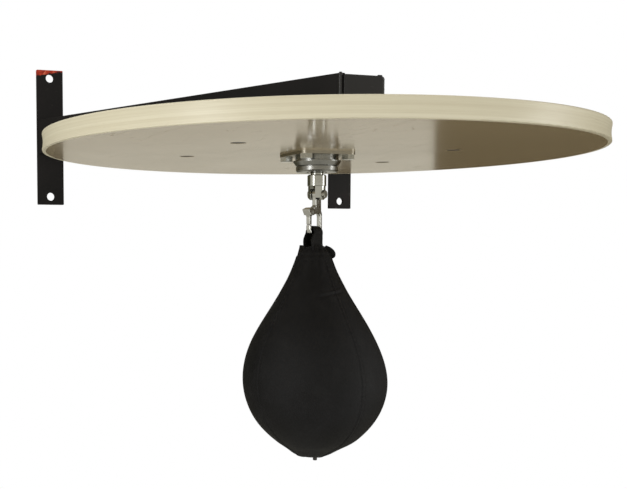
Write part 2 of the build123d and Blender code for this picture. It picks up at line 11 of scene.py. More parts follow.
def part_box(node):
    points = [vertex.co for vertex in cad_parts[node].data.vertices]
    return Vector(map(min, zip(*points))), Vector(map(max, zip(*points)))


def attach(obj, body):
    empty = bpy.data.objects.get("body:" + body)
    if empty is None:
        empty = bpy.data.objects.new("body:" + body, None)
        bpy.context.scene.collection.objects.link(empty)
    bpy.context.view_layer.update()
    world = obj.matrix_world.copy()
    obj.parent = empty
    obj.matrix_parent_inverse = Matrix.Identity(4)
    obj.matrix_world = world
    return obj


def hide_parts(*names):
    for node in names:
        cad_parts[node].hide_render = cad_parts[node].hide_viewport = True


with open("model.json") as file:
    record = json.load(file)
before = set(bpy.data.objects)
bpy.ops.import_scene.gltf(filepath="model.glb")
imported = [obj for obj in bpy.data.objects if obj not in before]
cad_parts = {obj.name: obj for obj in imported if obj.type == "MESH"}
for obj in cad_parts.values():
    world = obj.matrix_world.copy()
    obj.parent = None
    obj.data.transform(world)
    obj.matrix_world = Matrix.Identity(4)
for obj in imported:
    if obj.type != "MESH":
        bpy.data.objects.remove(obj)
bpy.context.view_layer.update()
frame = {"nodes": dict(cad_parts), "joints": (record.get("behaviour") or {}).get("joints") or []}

# Speed bag platform: the looks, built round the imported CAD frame.
# Metres, +Z up, the wall at Y = 0 and the room in front of it towards -Y.

MM = 0.001

nodes = frame["nodes"]
joints = {joint["name"]: joint for joint in frame["joints"]}

# ---------------------------------------------------------------- places taken from the frame

cap_low, cap_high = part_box("bearing_cap")
axis_x = (cap_low.x + cap_high.x) / 2
axis_y = (cap_low.y + cap_high.y) / 2
underside_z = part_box("underside_laminate")[0].z
pin_direction = Vector(joints["hook_swing"]["axis"]).normalized()
side_direction = Vector(joints["bag_swing"]["axis"]).normalized()
loop_pivot = Vector(joints["bag_swing"]["pos_m"])
shell_low, shell_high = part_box("bag_shell")
collar_low, collar_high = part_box("bag_collar")

# Headings are angles about the swivel axis, from straight out of the wall towards +X
VIEW_HEADING = math.radians(-26.8)
PANEL_COUNT = 4
FIRST_SEAM = VIEW_HEADING - math.radians(50.0)


def out_from_axis(heading, radius, z):
    """A point at a heading and radius about the swivel axis."""
    return Vector((axis_x + radius * math.sin(heading), axis_y - radius * math.cos(heading), z))


def smooth_step(value, low, high):
    """0 below low, 1 above high, and a smooth rise between."""
    share = min(1.0, max(0.0, (value - low) / (high - low)))
    return share * share * (3 - 2 * share)


# ---------------------------------------------------------------- node trees


class Shading:
    """Short calls that add nodes to a material's or world's tree."""

    def __init__(self, tree):
        self.tree = tree
        self.tree.nodes.clear()

    def add(self, kind, inputs, **settings):
        node = self.tree.nodes.new("ShaderNode" + kind)
        for name, value in settings.items():
            setattr(node, name, value)
        for key, value in inputs.items():
            self.feed(node.inputs[key], value)
        return node

    def feed(self, socket, value):
        if isinstance(value, bpy.types.NodeSocket):
            self.tree.links.new(value, socket)
        elif socket.type == "RGBA":
            socket.default_value = (*value, 1.0)
        else:
            socket.default_value = value

    def math(self, operation, first, second=0.0):
        return self.add("Math", {0: first, 1: second}, operation=operation).outputs[0]

    def span(self, value, low, high, to_low=0.0, to_high=1.0):
        """Map a range of values onto another, clamped."""
        inputs = {"Value": value, "From Min": low, "From Max": high, "To Min": to_low, "To Max": to_high}
        return self.add("MapRange", inputs).outputs[0]

    def mix(self, factor, first, second):
        return self.add("MixRGB", {"Fac": factor, "Color1": first, "Color2": second}).outputs[0]

    def ramp(self, value, *stops):
        """Colours by position: each stop is (position, colour)."""
        node = self.add("ValToRGB", {"Fac": value})
        elements = node.color_ramp.elements
        while len(elements) < len(stops):
            elements.new(1.0)
        for element, (position, colour) in zip(elements, stops):
            element.position = position
            element.color = (*colour, 1.0)
        return node.outputs["Color"]


class Recipe(Shading):
    def __init__(self, name):
        self.material = bpy.data.materials.new(name)
        self.material.use_nodes = True
        super().__init__(self.material.node_tree)
        self.place = self.add("TexCoord", {}).outputs["Object"]
        self.x, self.y, self.z = self.add("SeparateXYZ", {"Vector": self.place}).outputs

    def noise(self, scale, detail=4.0, rough=0.55, stretch=(1, 1, 1), warp=0.0):
        stretched = self.add("Mapping", {"Vector": self.place, "Scale": stretch}).outputs[0]
        inputs = {
            "Vector": stretched,
            "Scale": scale,
            "Detail": detail,
            "Roughness": rough,
            "Distortion": warp,
        }
        return self.add("TexNoise", inputs).outputs["Fac"]

    def cells(self, scale, feature="F1"):
        inputs = {"Vector": self.place, "Scale": scale}
        return self.add("TexVoronoi", inputs, feature=feature).outputs["Distance"]

    def bump(self, height, distance, strength=1.0, below=None):
        inputs = {"Height": height, "Distance": distance, "Strength": strength}
        if below is not None:
            inputs["Normal"] = below
        return self.add("Bump", inputs).outputs[0]

    def finish(self, **inputs):
        """Close with a principled shader, its inputs given in lower case with underscores."""
        names = {key.replace("_", " ").title().replace("Ior", "IOR"): value for key, value in inputs.items()}
        shader = self.add("BsdfPrincipled", names)
        self.add("OutputMaterial", {"Surface": shader.outputs[0]})
        return self.material


# ---------------------------------------------------------------- materials

ENAMEL_GLOSS = 0.14
NOSE_GLOSS = 0.35
WELD_GLOSS = 0.5
RIM_GLOSS = 0.45
LEATHER_GLOSS = 0.2


def enamel(name, peel_depth=0.03 * MM):
    """Black enamel over steel, as a recipe's parts: a faint orange peel, a drift of tone with a painted
    purple-brown sheen in its reddish patches, dust and chips.
    """
    r = Recipe(name)
    drift = r.noise(9.0, 5.0)
    dust = r.noise(160.0, 6.0, 0.7)
    scratch = r.noise(60.0, 3.0, 0.6, stretch=(1.0, 1.0, 9.0), warp=0.6)
    # The drift's lower stops are random tone. Its reddish top stop is a painted purple-brown sheen, set into
    # the enamel's own colour.
    tone_and_painted_sheen = r.ramp(
        drift,
        (0.3, (0.006, 0.006, 0.006)),
        (0.55, (0.009, 0.008, 0.008)),
        (0.75, (0.015, 0.010, 0.010)),
    )
    dusty = r.mix(r.span(dust, 0.6, 0.85, 0.0, 0.2), tone_and_painted_sheen, (0.05, 0.047, 0.044))
    scuffed = r.mix(r.span(scratch, 0.68, 0.76, 0.0, 0.2), dusty, (0.075, 0.07, 0.065))
    chips = r.span(r.noise(240.0, 4.0, 0.6), 0.735, 0.76)
    colour = r.mix(chips, scuffed, (0.20, 0.18, 0.165))
    rough = r.span(drift, 0.2, 0.8, 0.34, 0.52)
    peel = r.bump(r.noise(900.0, 2.0), peel_depth)
    surface = r.bump(r.span(scratch, 0.6, 0.8, 0.0, -1.0), 0.05 * MM, 0.6, peel)
    return r, colour, rough, chips, surface


def plain_enamel(name, gloss=ENAMEL_GLOSS):
    """The enamel as it is on most of the frame."""
    r, colour, rough, chips, surface = enamel(name)
    return r.finish(
        base_color=colour,
        roughness=rough,
        metallic=chips,
        specular_ior_level=gloss,
        normal=surface,
    )


def scuffed_enamel(name, left_x, right_x, top_z):
    """The same enamel, with red primer showing where the top edge was rubbed, deepest at the left."""
    r, colour, _, chips, surface = enamel(name)
    middle_x = (left_x + right_x) / 2
    depth = r.math("SUBTRACT", top_z, r.z)
    rubbed = r.span(r.x, left_x, middle_x, 9.0 * MM, 4.0 * MM)
    shallower = r.span(r.x, middle_x, right_x, 0.0, 2.6 * MM)
    ragged = r.span(r.noise(130.0, 4.0, 0.65), 0.3, 0.7, -2.5 * MM, 2.5 * MM)
    limit = r.math("ADD", r.math("SUBTRACT", rubbed, shallower), ragged)
    patch = r.span(r.math("SUBTRACT", limit, depth), -0.6 * MM, 0.9 * MM)
    primer = r.ramp(
        r.noise(95.0, 3.0, 0.6, warp=1.2),
        (0.35, (0.22, 0.018, 0.008)),
        (0.52, (0.38, 0.035, 0.016)),
        (0.68, (0.52, 0.13, 0.07)),
    )
    return r.finish(
        base_color=r.mix(patch, colour, primer),
        roughness=r.span(patch, 0.0, 1.0, 0.42, 0.7),
        metallic=chips,
        specular_ior_level=ENAMEL_GLOSS,
        normal=surface,
    )


def welded_enamel():
    """Enamel over a weld: rougher, with spatter."""
    r, colour, rough, chips, surface = enamel("enamel_over_weld", 0.08 * MM)
    spatter = r.span(r.cells(330.0), 0.0, 0.35, 1.0, 0.0)
    return r.finish(
        base_color=colour,
        roughness=r.math("MULTIPLY", rough, 0.85),
        metallic=chips,
        specular_ior_level=WELD_GLOSS,
        normal=r.bump(spatter, 0.12 * MM, 0.5, surface),
    )


def rim_laminate():
    """Bent plies at the board's edge: fine level lines, grain along the hoop, satin varnish."""
    r = Recipe("rim_plies")
    plies = r.noise(1.0, 3.0, 0.6, stretch=(2.0, 2.0, 520.0))
    grain = r.noise(1.0, 6.0, 0.65, stretch=(34.0, 34.0, 1500.0), warp=0.4)
    blotch = r.noise(6.0, 3.0)
    wood = r.ramp(
        plies,
        (0.36, (0.535, 0.49, 0.36)),
        (0.5, (0.57, 0.53, 0.395)),
        (0.62, (0.61, 0.57, 0.435)),
    )
    toned = r.mix(r.span(blotch, 0.35, 0.7, 0.0, 0.3), wood, (0.54, 0.485, 0.345))
    lined = r.mix(r.span(grain, 0.5, 0.68, 0.0, 0.22), toned, (0.42, 0.37, 0.25))
    rough = r.span(grain, 0.3, 0.7, 0.26, 0.40)
    surface = r.bump(grain, 0.03 * MM, 0.5, r.bump(plies, 0.05 * MM, 0.6))
    return r.finish(base_color=lined, roughness=rough, specular_ior_level=RIM_GLOSS, normal=surface)


def board_sheet(name, low_rough, high_rough, pale, dark, mirror=0.5):
    """Glossy laminate sheet: soft cloudy tone, faint grain, hairline scuffs."""
    r = Recipe(name)
    cloud = r.noise(5.0, 5.0, 0.6)
    grain = r.noise(16.0, 7.0, 0.6, stretch=(1.0, 9.0, 1.0), warp=0.3)
    tone = r.mix(r.span(cloud, 0.35, 0.7), pale, dark)
    lined = r.mix(r.span(grain, 0.5, 0.75, 0.0, 0.3), tone, tuple(part * 0.72 for part in dark))
    hairlines = r.noise(26.0, 2.0, 0.5, stretch=(1.0, 0.12, 1.0), warp=1.6)
    scuff = r.span(r.math("ABSOLUTE", r.math("SUBTRACT", hairlines, 0.5)), 0.0, 0.004, 1.0, 0.0)
    rough = r.math("ADD", r.span(cloud, 0.3, 0.7, low_rough, high_rough), r.math("MULTIPLY", scuff, 0.12))
    wave = r.bump(r.noise(38.0, 2.0, 0.4), 0.02 * MM, 0.6)
    surface = r.bump(scuff, 0.01 * MM, 0.5, wave)
    return r.finish(base_color=lined, roughness=rough, specular_ior_level=mirror, normal=surface)


def ply_core():
    """Raw plywood core, seen only down the holes and at the joint with the band."""
    r = Recipe("ply_core")
    layers = r.noise(1.0, 1.0, 0.5, stretch=(0.5, 0.5, 420.0))
    grain = r.noise(90.0, 6.0, 0.7, stretch=(6.0, 1.0, 1.0))
    wood = r.ramp(layers, (0.4, (0.36, 0.24, 0.13)), (0.55, (0.58, 0.44, 0.27)))
    colour = r.mix(r.span(grain, 0.45, 0.7, 0.0, 0.5), wood, (0.30, 0.20, 0.11))
    return r.finish(base_color=colour, roughness=0.8, normal=r.bump(grain, 0.15 * MM))


def plated(name, base, dull, low_rough, high_rough, pit_depth):
    """Plated steel: reflective, with clouding, fine scratches and dull spots."""
    r = Recipe(name)
    cloud = r.noise(120.0, 5.0, 0.65)
    spots = r.span(r.noise(420.0, 4.0, 0.7), 0.62, 0.74)
    scratch = r.noise(500.0, 3.0, 0.6)
    colour = r.mix(r.math("MAXIMUM", r.span(cloud, 0.5, 0.75, 0.0, 0.6), spots), base, dull)
    rough = r.math("ADD", r.span(cloud, 0.3, 0.75, low_rough, high_rough), r.math("MULTIPLY", spots, 0.15))
    surface = r.bump(scratch, 0.012 * MM, 0.6, r.bump(cloud, pit_depth, 0.7))
    return r.finish(base_color=colour, roughness=rough, metallic=1.0, normal=surface)


def leather(name, grain_scale, relief, pale=1.0):
    """Black leather: pebbled grain with painted shade in its cracks, fine pores, rubbed lighter patches, a
    dry low sheen.
    """
    r = Recipe(name)
    pebble = r.cells(grain_scale, "SMOOTH_F1")
    crack = r.span(r.cells(grain_scale, "DISTANCE_TO_EDGE"), 0.0, 0.09)
    pores = r.noise(grain_scale * 3.2, 4.0, 0.7)
    mottle = r.noise(42.0, 6.0, 0.7)
    rubbed = r.noise(11.0, 3.0)
    shade = r.ramp(
        mottle,
        (0.30, tuple(pale * part for part in (0.0024, 0.0024, 0.0027))),
        (0.52, tuple(pale * part for part in (0.0048, 0.0047, 0.0052))),
        (0.72, tuple(pale * part for part in (0.0100, 0.0098, 0.0100))),
    )
    lighter = r.mix(r.span(rubbed, 0.5, 0.72, 0.0, 0.5), shade, (0.0104, 0.0108, 0.0124))
    # Painted shade: the colour is darkened in the grain's cracks, the grooves between the pebbles.
    colour = r.mix(r.span(crack, 0.0, 1.0, 0.45, 0.0), lighter, (0.0025, 0.0025, 0.0025))
    rough = r.span(mottle, 0.3, 0.7, 0.58, 0.74)
    fine = r.bump(pores, 0.05 * MM, 0.5)
    surface = r.bump(crack, relief, 0.7, r.bump(pebble, -0.6 * relief, 0.5, fine))
    return r.finish(base_color=colour, roughness=rough, specular_ior_level=LEATHER_GLOSS, normal=surface)


def rubber():
    """Dark rubber with a dusty bloom."""
    r = Recipe("bladder_rubber_skin")
    bloom = r.noise(70.0, 5.0, 0.7)
    colour = r.ramp(bloom, (0.35, (0.020, 0.018, 0.017)), (0.7, (0.055, 0.048, 0.042)))
    rough = r.span(bloom, 0.3, 0.7, 0.6, 0.82)
    return r.finish(base_color=colour, roughness=rough, normal=r.bump(bloom, 0.08 * MM))


# Each plating: its clean colour, its dull colour, its least and greatest roughness, its pitting
fork_chrome = plated("chrome_fork", (0.54, 0.545, 0.52), (0.42, 0.42, 0.39), 0.08, 0.20, 0.05 * MM)
satin_steel = plated("satin_steel", (0.37, 0.375, 0.365), (0.27, 0.27, 0.25), 0.24, 0.36, 0.05 * MM)
base_zinc = plated("zinc_yellowed", (0.44, 0.41, 0.34), (0.32, 0.29, 0.23), 0.30, 0.45, 0.06 * MM)
dull_zinc = plated("zinc_dull", (0.33, 0.325, 0.285), (0.20, 0.19, 0.15), 0.26, 0.42, 0.08 * MM)
cast_chrome = plated("chrome_cast", (0.64, 0.645, 0.63), (0.44, 0.44, 0.42), 0.10, 0.24, 0.12 * MM)
zinc = plated("zinc_plate", (0.55, 0.55, 0.53), (0.40, 0.39, 0.34), 0.28, 0.44, 0.06 * MM)
black_bolt = plated("black_oxide", (0.055, 0.050, 0.045), (0.11, 0.095, 0.08), 0.38, 0.55, 0.06 * MM)
ground_steel = plated("ground_steel", (0.62, 0.62, 0.61), (0.50, 0.50, 0.49), 0.10, 0.20, 0.02 * MM)
brass = plated("cage_brass_turned", (0.62, 0.46, 0.20), (0.42, 0.29, 0.12), 0.22, 0.36, 0.04 * MM)
spring_wire = plated("spring_wire", (0.50, 0.50, 0.50), (0.30, 0.29, 0.27), 0.18, 0.32, 0.02 * MM)
frame_enamel = plain_enamel("black_enamel")
bag_leather = leather("bag_leather_skin", 620.0, 0.10 * MM)
strap_leather = leather("strap_leather", 900.0, 0.06 * MM, 0.8)
underside_sheet = board_sheet("sheet_gloss", 0.12, 0.18, (0.33, 0.265, 0.165), (0.29, 0.23, 0.14), 0.8)
topside_sheet = board_sheet("sheet_satin", 0.25, 0.38, (0.60, 0.54, 0.41), (0.52, 0.46, 0.33))
bladder_rubber = rubber()

left_plate_low, left_plate_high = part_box("left_wall_plate")
rubbed_enamel = scuffed_enamel("black_enamel_rubbed", left_plate_low.x, left_plate_high.x, left_plate_high.z)

node_materials = {
    "board_panel": ply_core(),
    "underside_laminate": underside_sheet,
    "topside_laminate": topside_sheet,
    "rim_band": rim_laminate(),
    "left_wall_plate": rubbed_enamel,
    "nose_plate": plain_enamel("black_enamel_nose", NOSE_GLOSS),
    "board_washers": zinc,
    "board_nuts": zinc,
    "board_bolts": black_bolt,
    "swivel_bolts": fork_chrome,
    "swivel_washers": zinc,
    "swivel_nuts": zinc,
    "spindle_washer": zinc,
    "spindle_nut": zinc,
    "swivel_base_plate": base_zinc,
    "bearing_housing": satin_steel,
    "bearing_cap": satin_steel,
    "spindle_fork": fork_chrome,
    "fork_pin": dull_zinc,
    "bearing_outer_race": ground_steel,
    "bearing_inner_race": ground_steel,
    "bearing_balls": ground_steel,
    "gate_pin": ground_steel,
    "bearing_cage": brass,
    "pin_clip": spring_wire,
    "gate_spring": spring_wire,
    "bag_bladder": bladder_rubber,
    "bladder_valve": bladder_rubber,
}
PLAIN_BARS = ("right_wall_plate", "left_arm", "right_arm", "front_crossbar", "rear_crossbar")
for name in PLAIN_BARS:
    node_materials[name] = frame_enamel

for name, material in node_materials.items():
    nodes[name].material_slots[0].material = material

# ---------------------------------------------------------------- softened edges on CAD parts


def soften(name, width):
    """Round a CAD part's sharp edges for the light to catch. The mesh itself stays."""
    part = nodes[name]
    weld = part.modifiers.new("join", "WELD")
    weld.merge_threshold = 0.005 * MM
    bevel = part.modifiers.new("edges", "BEVEL")
    bevel.width = width
    bevel.segments = 3
    bevel.limit_method = "ANGLE"
    bevel.angle_limit = math.radians(35)
    bevel.use_clamp_overlap = True
    part.modifiers.new("shading", "WEIGHTED_NORMAL").keep_sharp = False


BAR_EDGE = 0.5 * MM
NOSE_EDGE = 0.3 * MM

for name in PLAIN_BARS + ("left_wall_plate",):
    soften(name, BAR_EDGE)
soften("nose_plate", NOSE_EDGE)

# ---------------------------------------------------------------- mesh helpers


def make_piece(name, mesh, material, body):
    """A new smooth-shaded piece that rides on a body."""
    piece = bpy.data.objects.new(name, mesh)
    bpy.context.scene.collection.objects.link(piece)
    mesh.materials.clear()
    mesh.materials.append(material)
    for face in mesh.polygons:
        face.use_smooth = True
    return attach(piece, body)


def mesh_from(name, points, faces):
    """A mesh of points and faces."""
    mesh = bpy.data.meshes.new(name)
    mesh.from_pydata([tuple(point) for point in points], [], faces)
    mesh.update()
    return mesh


def ring_faces(rings, around, closed_ends=True):
    """Quads between rings of points that follow each other, with one flat face at each end."""
    faces = []
    for ring in range(rings - 1):
        for step in range(around):
            low = ring * around + step
            low_next = ring * around + (step + 1) % around
            faces.append((low, low_next, low_next + around, low + around))
    if closed_ends:
        faces.append(tuple(reversed(range(around))))
        faces.append(tuple((rings - 1) * around + step for step in range(around)))
    return faces


def sweep(path, sides, section, up):
    """Points of a section carried along a path. section(angle, share) gives (across, outward) offsets."""
    points = []
    last = len(path) - 1
    for index, centre in enumerate(path):
        along = (path[min(index + 1, last)] - path[max(index - 1, 0)]).normalized()
        across = up.cross(along).normalized()
        outward = along.cross(across)
        for side in range(sides):
            right, out = section(2 * math.pi * side / sides, index / last)
            points.append(centre + across * right + outward * out)
    return points


def joined(name, groups):
    """One mesh from several (points, faces) groups."""
    points, faces = [], []
    for group_points, group_faces in groups:
        start = len(points)
        points.extend(group_points)
        faces.extend(tuple(index + start for index in face) for face in group_faces)
    return mesh_from(name, points, faces)


def loose_parts(name):
    """The separate solids of a CAD node, each as a sorted array of points."""
    work = bmesh.new()
    work.from_mesh(nodes[name].data)
    bmesh.ops.remove_doubles(work, verts=work.verts, dist=0.002 * MM)
    waiting = set(work.verts)
    parts = []
    while waiting:
        stack = [waiting.pop()]
        part = []
        while stack:
            vert = stack.pop()
            part.append(tuple(vert.co))
            for edge in vert.link_edges:
                other = edge.other_vert(vert)
                if other in waiting:
                    waiting.discard(other)
                    stack.append(other)
        parts.append(np.array(sorted(part)))
    work.free()
    return sorted(parts, key=lambda part: tuple(part.mean(0).round(4)))


# ---------------------------------------------------------------- weld beads

BEAD_SIDES = 20
RIPPLE_PITCH = 1.5 * MM
RINGS_PER_RIPPLE = 6
WELD_LUMP = 2.6 * MM  # how far the bead at the nose's left corner runs on, as a lump
nose_low, nose_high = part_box("nose_plate")
nose_width = nose_high.x - nose_low.x


def weld_bead(points):
    """One bead along a CAD bead's long axis: overlapping crescents, uneven along its length."""
    centre = points.mean(0)
    axis = np.linalg.svd(points - centre, full_matrices=False)[2][0]
    axis *= np.sign(axis[np.abs(axis).argmax()])
    reach = (points - centre) @ axis
    radius = np.linalg.norm((points - centre) - np.outer(reach, axis), axis=1).max()
    start, end = reach.min(), reach.max()
    at_nose_corner = centre[0] < -0.4 * nose_width and centre[1] < nose_high.y
    if at_nose_corner and axis[2] > 0:
        end += WELD_LUMP
    elif at_nose_corner:
        start -= WELD_LUMP
    count = int((end - start) / RIPPLE_PITCH * RINGS_PER_RIPPLE)
    middle = Vector(centre)
    run = Vector(axis)
    side = run.orthogonal().normalized()
    other = run.cross(side)
    made = []
    for ring in range(count + 1):
        share = ring / count
        along = start + (end - start) * share
        ripple = (along / RIPPLE_PITCH) % 1.0
        wander = noise.noise(middle * 40 + run * (along * 300))
        taper = min(1.0, 0.55 + 9 * share, 0.55 + 9 * (1 - share))
        size = radius * taper * (0.88 + 0.12 * (1 - ripple) ** 0.6 + 0.07 * wander)
        for step in range(BEAD_SIDES):
            angle = 2 * math.pi * step / BEAD_SIDES
            lean = 0.5 * RIPPLE_PITCH * math.cos(angle) ** 2
            direction = side * math.cos(angle) + other * math.sin(angle)
            made.append(middle + run * min(end, along + lean) + direction * size)
    return made, ring_faces(count + 1, BEAD_SIDES)


bead_mesh = joined("weld_beads_rippled", [weld_bead(part) for part in loose_parts("weld_beads")])
beads = make_piece("weld_beads_rippled", bead_mesh, welded_enamel(), "platform")
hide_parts("weld_beads")

# ---------------------------------------------------------------- threads past the nuts

THREAD_PITCH = 1.25 * MM
THREAD_DEPTH = 0.45 * MM
THREAD_PROUD = 0.05 * MM  # the crests stand just clear of the CAD bolt's plain cylinder
THREAD_POINT = 0.7 * MM  # the taper at the bolt's tip, along it and inward
THREAD_TIP = 0.15 * MM
THREAD_SIDES = 32
THREAD_RINGS = 40


def thread_end(part, nut_top):
    """The rolled thread on the stretch of bolt that stands past its nut."""
    centre = (part.min(0) + part.max(0)) / 2
    top = part[:, 2].max()
    tip = part[part[:, 2] > top - 0.1 * MM]
    radius = np.hypot(tip[:, 0] - centre[0], tip[:, 1] - centre[1]).max()
    points = []
    for ring in range(THREAD_RINGS + 1):
        z = nut_top - THREAD_PITCH + (top + THREAD_TIP - nut_top + THREAD_PITCH) * ring / THREAD_RINGS
        taper = THREAD_POINT * smooth_step(z, top - THREAD_POINT, top + THREAD_TIP)
        for step in range(THREAD_SIDES):
            angle = 2 * math.pi * step / THREAD_SIDES
            turn = (z / THREAD_PITCH - step / THREAD_SIDES) % 1.0
            crest = 1 - abs(2 * turn - 1)
            size = radius + THREAD_PROUD - THREAD_DEPTH * (1 - crest) - taper
            size = max(size, radius - 0.75 * MM)
            points.append(Vector((centre[0] + size * math.cos(angle), centre[1] + size * math.sin(angle), z)))
    return points, ring_faces(THREAD_RINGS + 1, THREAD_SIDES)


for fastener, material, slot in (("board", black_bolt, "black_bolt"), ("swivel", zinc, "zinc")):
    nut_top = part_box(fastener + "_nuts")[1].z
    name = fastener + "_bolts_thread"
    ends = [thread_end(part, nut_top) for part in loose_parts(fastener + "_bolts")]
    piece = make_piece(name, joined(name, ends), material, "platform")

# ---------------------------------------------------------------- cast hook and gate

GATE_REACH = 0.5 * MM
TIP_LENGTH = 5 * MM


def baked(piece):
    """Put a piece's modifiers into its mesh."""
    made = bpy.data.meshes.new_from_object(piece.evaluated_get(bpy.context.evaluated_depsgraph_get()))
    piece.modifiers.clear()
    piece.data = made
    return made


def cast_copy(node, name, voxel, passes, body, reach=0.0):
    """A cast piece: the CAD shape remeshed finely and rounded, its lower tip drawn down by its reach."""
    piece = make_piece(name, nodes[node].data.copy(), cast_chrome, body)
    remesh = piece.modifiers.new("remesh", "REMESH")
    remesh.mode = "VOXEL"
    remesh.voxel_size = voxel
    remesh.use_smooth_shade = True
    rounding = piece.modifiers.new("round", "SMOOTH")
    rounding.factor = 0.5
    rounding.iterations = passes
    made = baked(piece)
    made.materials.clear()
    made.materials.append(cast_chrome)
    for face in made.polygons:
        face.use_smooth = True
    low_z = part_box(node)[0].z
    for vert in made.vertices:
        vert.co.z -= reach * (1 - smooth_step(vert.co.z, low_z, low_z + TIP_LENGTH))
    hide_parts(node)


cast_copy("snap_hook", "snap_hook_cast", 0.32 * MM, 5, "hook")
cast_copy("hook_gate", "hook_gate_cast", 0.26 * MM, 3, "gate", GATE_REACH)

# ---------------------------------------------------------------- bag: profile

MERIDIANS = 96
RINGS = 66
SAG_DIRECTION = Vector((-0.945, 0.327, 0.0))  # to the left, as seen in the photograph
SAG_TOP = 2.7 * MM
SAG_BOTTOM = 0.5 * MM
SAG_FOOT = 3.6 * MM
LOW_PART_START, LOW_PART_END = 50 * MM, 140 * MM  # heights above the bag's bottom
FOOT_END = 22 * MM
BLADDER_SHRINK = 0.985
SEAM_HEADINGS = [FIRST_SEAM + 2 * math.pi * panel / PANEL_COUNT for panel in range(PANEL_COUNT)]

shell_surface = BVHTree.FromObject(nodes["bag_shell"], bpy.context.evaluated_depsgraph_get())


def shell_radius(z):
    """The CAD bag's outer radius at a height, found by a ray from outside."""
    hit = shell_surface.ray_cast(out_from_axis(0.0, 0.3, z), Vector((0, 1, 0)))[0]
    return 0.0 if hit is None else math.hypot(hit.x - axis_x, hit.y - axis_y)


profile_z = np.linspace(shell_low.z, shell_high.z, 240)
profile_r = np.array([shell_radius(z) for z in profile_z])
profile_r[0] = 0.0
profile_r[-1] = profile_r[-2]


def bag_radius(z):
    """The CAD bag's outer radius at a height, read from the profile."""
    return float(np.interp(z, profile_z, profile_r))


def sag(point):
    """The hung bag sits a little to one side of the swivel axis: at its top, and again at its foot."""
    height = point.z - shell_low.z
    low_part = 1 - smooth_step(height, LOW_PART_START, LOW_PART_END)
    foot = 1 - smooth_step(height, 0.0, FOOT_END)
    return point + SAG_DIRECTION * (SAG_TOP + (SAG_BOTTOM - SAG_TOP) * low_part + SAG_FOOT * foot)


def even_levels(count):
    """Heights down the bag, evenly spaced along its outline, from the neck to just above the bottom."""
    step = np.hypot(np.diff(profile_z), np.diff(profile_r))
    run = np.concatenate(([0.0], np.cumsum(step)))
    wanted = np.linspace(run[-1], run[-1] * 0.012, count)
    return [float(np.interp(length, run, profile_z)) for length in wanted]


def seam_distance(heading, radius):
    """How far a point on the bag lies from the nearest seam, measured round the bag."""
    return radius * min(abs(math.remainder(heading - seam, 2 * math.pi)) for seam in SEAM_HEADINGS)


def bag_grid(inset):
    """The teardrop's grid, with seams on whole meridians and the panels set in between them."""
    points = []
    for z in even_levels(RINGS):
        for step in range(MERIDIANS):
            heading = FIRST_SEAM + 2 * math.pi * step / MERIDIANS
            on_seam = step % (MERIDIANS // PANEL_COUNT) == 0
            radius = max(0.5 * MM, bag_radius(z) - (0.0 if on_seam else inset))
            points.append(out_from_axis(heading, radius, z))
    return points, ring_faces(RINGS, MERIDIANS)


# ---------------------------------------------------------------- bag: inflation

PANEL_INSET = -0.3 * MM  # negative: the panels start just proud of the seams
PANEL_CAP = 1.0 * MM
PRESSURE = 4.0
LAST_FRAME = 20


def inflate(piece, held, pressure, cap):
    """Blow the panels up with Blender's cloth while the held points stay, then cap each point's travel."""
    scene = bpy.context.scene
    rest = [vert.co.copy() for vert in piece.data.vertices]
    group = piece.vertex_groups.new(name="held")
    group.add(held, 1.0, "REPLACE")
    cloth = piece.modifiers.new("cloth", "CLOTH")
    settings = cloth.settings
    settings.vertex_group_mass = "held"
    settings.quality = 6
    settings.mass = 0.25
    settings.tension_stiffness = 12.0
    settings.compression_stiffness = 12.0
    settings.shear_stiffness = 6.0
    settings.bending_stiffness = 1.5
    settings.use_pressure = True
    settings.uniform_pressure_force = pressure
    settings.effector_weights.gravity = 0.0
    cloth.collision_settings.use_collision = False
    scene.frame_start, scene.frame_end = 1, LAST_FRAME
    for number in range(1, LAST_FRAME + 1):
        scene.frame_set(number)
    blown = piece.evaluated_get(bpy.context.evaluated_depsgraph_get()).to_mesh()
    moved = [vert.co.copy() for vert in blown.vertices]
    piece.modifiers.remove(cloth)
    settled = []
    for start, end in zip(rest, moved):
        radius = math.hypot(start.x - axis_x, start.y - axis_y)
        out = Vector((start.x - axis_x, start.y - axis_y, 0)) / radius
        puff = min(cap, max(0.0, (end - start).dot(out)))
        settled.append(start + out * puff)
    piece.data.vertices.foreach_set("co", np.array(settled, np.float32).ravel())
    scene.frame_set(1)
    piece.vertex_groups.clear()


def subdivide(piece, levels=1):
    """Apply Catmull-Clark subdivision to a piece."""
    split = piece.modifiers.new("split", "SUBSURF")
    split.levels = split.render_levels = levels
    baked(piece)


SEAM_DEPTH = 0.7 * MM
SEAM_LIP = 0.2 * MM
SEAM_WIDTH = 0.9 * MM
PUCKER_DEPTH = 0.15 * MM
PUCKER_PITCH = 5.0 * MM
PUCKER_REACH = 4 * MM
DENT_DEPTH = 0.6 * MM
FOLD_DEPTH = 0.4 * MM
FOLD_FADE = 46 * MM
NECK_Z = collar_low.z
CREASE_DEPTH = 0.7 * MM
CREASE_Z = underside_z - 158 * MM
CREASE_SLOPE = 6 * MM


def hump(distance, width):
    """1 at no distance, falling smoothly to 0 past the width."""
    return math.exp(-((distance / width) ** 2))


def seam_relief(gap, z):
    """A stitched seam: a tight groove, a lip beside it, and puckers along it."""
    groove = -SEAM_DEPTH * hump(gap, SEAM_WIDTH)
    lip = SEAM_LIP * hump(gap - 2.6 * SEAM_WIDTH, 1.1 * SEAM_WIDTH)
    pucker = PUCKER_DEPTH * math.sin(2 * math.pi * z / PUCKER_PITCH) * hump(gap, PUCKER_REACH)
    return groove + lip + pucker


